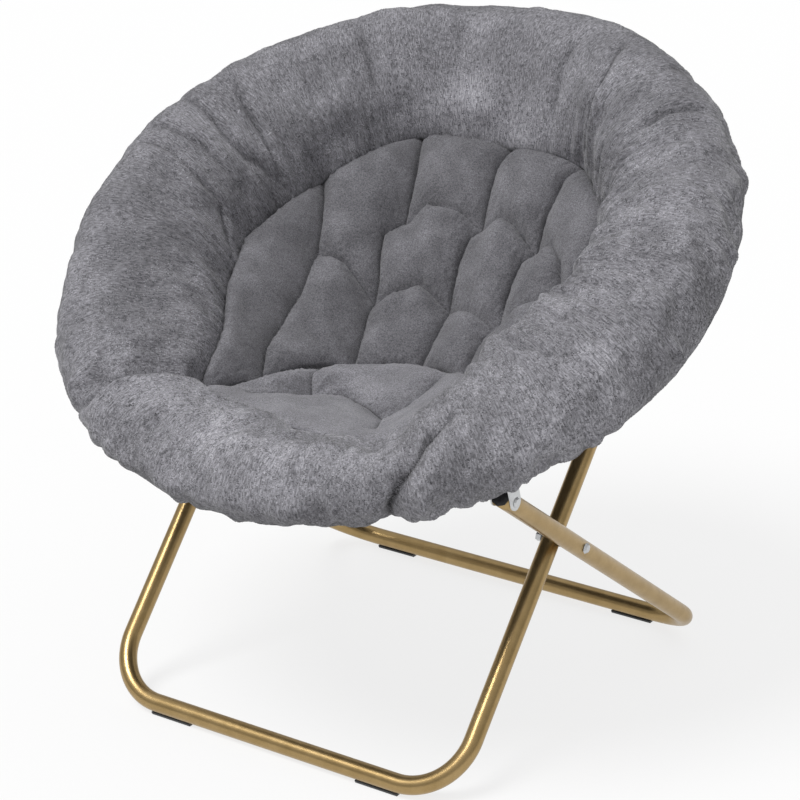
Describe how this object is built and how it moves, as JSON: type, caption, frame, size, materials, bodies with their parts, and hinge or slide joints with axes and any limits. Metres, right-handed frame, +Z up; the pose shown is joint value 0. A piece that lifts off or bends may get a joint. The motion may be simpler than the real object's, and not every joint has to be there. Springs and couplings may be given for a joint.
{
  "type": "folding saucer chair",
  "caption": "Folding lounge chair: a round plush bowl seat on a hinged tube ring, carried by two crossed U-shaped tube legs, folding flat about the ring.",
  "frame": {"origin": "on the floor under the middle of the chair's overall box", "axes": "+Z up, the sitter faces -Y, +X to the sitter's left"},
  "size_m": [0.8138, 0.7412, 0.7672],
  "materials": {
    "gold_tube": "satin",
    "zinc_steel": "satin",
    "black_plastic": "satin",
    "plush": "matte",
    "lining_cloth": "matte"
  },
  "bodies": {
    "rear_legs": {"rear_leg_frame": "gold_tube", "rear_leg_plug_left": "black_plastic", "rear_leg_plug_right": "black_plastic", "rear_glide_left": "black_plastic", "rear_glide_right": "black_plastic", "cross_bolt_left": "zinc_steel", "cross_bolt_right": "zinc_steel", "cross_spacer_left": "black_plastic", "cross_spacer_right": "black_plastic"},
    "front_seat": {"front_hoop": "gold_tube", "front_hoop_cap_left": "black_plastic", "front_hoop_cap_right": "black_plastic", "front_hinge_plate_left": "zinc_steel", "front_hinge_plate_right": "zinc_steel", "hinge_pin_left": "zinc_steel", "hinge_pin_right": "zinc_steel", "front_hinge_rivet_left": "zinc_steel", "front_hinge_rivet_right": "zinc_steel", "front_bracket_left": "zinc_steel", "front_bracket_right": "zinc_steel", "front_pivot_rivet_left": "zinc_steel", "front_pivot_rivet_right": "zinc_steel", "front_fixing_rivet_left": "zinc_steel", "front_fixing_rivet_right": "zinc_steel", "seat_rim_front": "plush", "seat_pad_front": "plush", "seat_lining_front": "lining_cloth"},
    "rear_seat": {"rear_hoop": "gold_tube", "rear_hoop_cap_left": "black_plastic", "rear_hoop_cap_right": "black_plastic", "rear_hinge_plate_left": "zinc_steel", "rear_hinge_plate_right": "zinc_steel", "rear_hinge_rivet_left": "zinc_steel", "rear_hinge_rivet_right": "zinc_steel", "rear_bracket_left": "zinc_steel", "rear_bracket_right": "zinc_steel", "rear_pivot_rivet_left": "zinc_steel", "rear_pivot_rivet_right": "zinc_steel", "rear_fixing_rivet_left": "zinc_steel", "rear_fixing_rivet_right": "zinc_steel", "seat_rim_rear": "plush", "seat_pad_rear": "plush", "seat_lining_rear": "lining_cloth"},
    "front_legs": {"front_leg_frame": "gold_tube", "front_leg_plug_left": "black_plastic", "front_leg_plug_right": "black_plastic", "front_glide_left": "black_plastic", "front_glide_right": "black_plastic", "cross_nut_left": "zinc_steel", "cross_nut_right": "zinc_steel"}
  },
  "joints": [
    {"name": "seat_fold", "type": "hinge", "parent": "front_seat", "child": "rear_seat", "pos_m": [0, -0.08871, 0.47048], "axis": [1, 0, 0], "range_deg": [0, 156.36], "deforming": ["seat_rim_front", "seat_rim_rear", "seat_pad_front", "seat_pad_rear", "seat_lining_front", "seat_lining_rear"]},
    {"name": "rear_leg_pivot", "type": "hinge", "parent": "rear_legs", "child": "front_seat", "pos_m": [0, -0.19821, 0.36755], "axis": [1, 0, 0], "range_deg": [-52, 0]},
    {"name": "front_leg_pivot", "type": "hinge", "parent": "rear_seat", "child": "front_legs", "pos_m": [0, 0.28829, 0.61544], "axis": [1, 0, 0], "range_deg": [-32.5, 0]}
  ],
  "couplings": [
    {"joint": "rear_leg_pivot", "follows": "seat_fold", "ratio": -0.33217},
    {"joint": "front_leg_pivot", "follows": "seat_fold", "ratio": -0.20738}
  ]
}
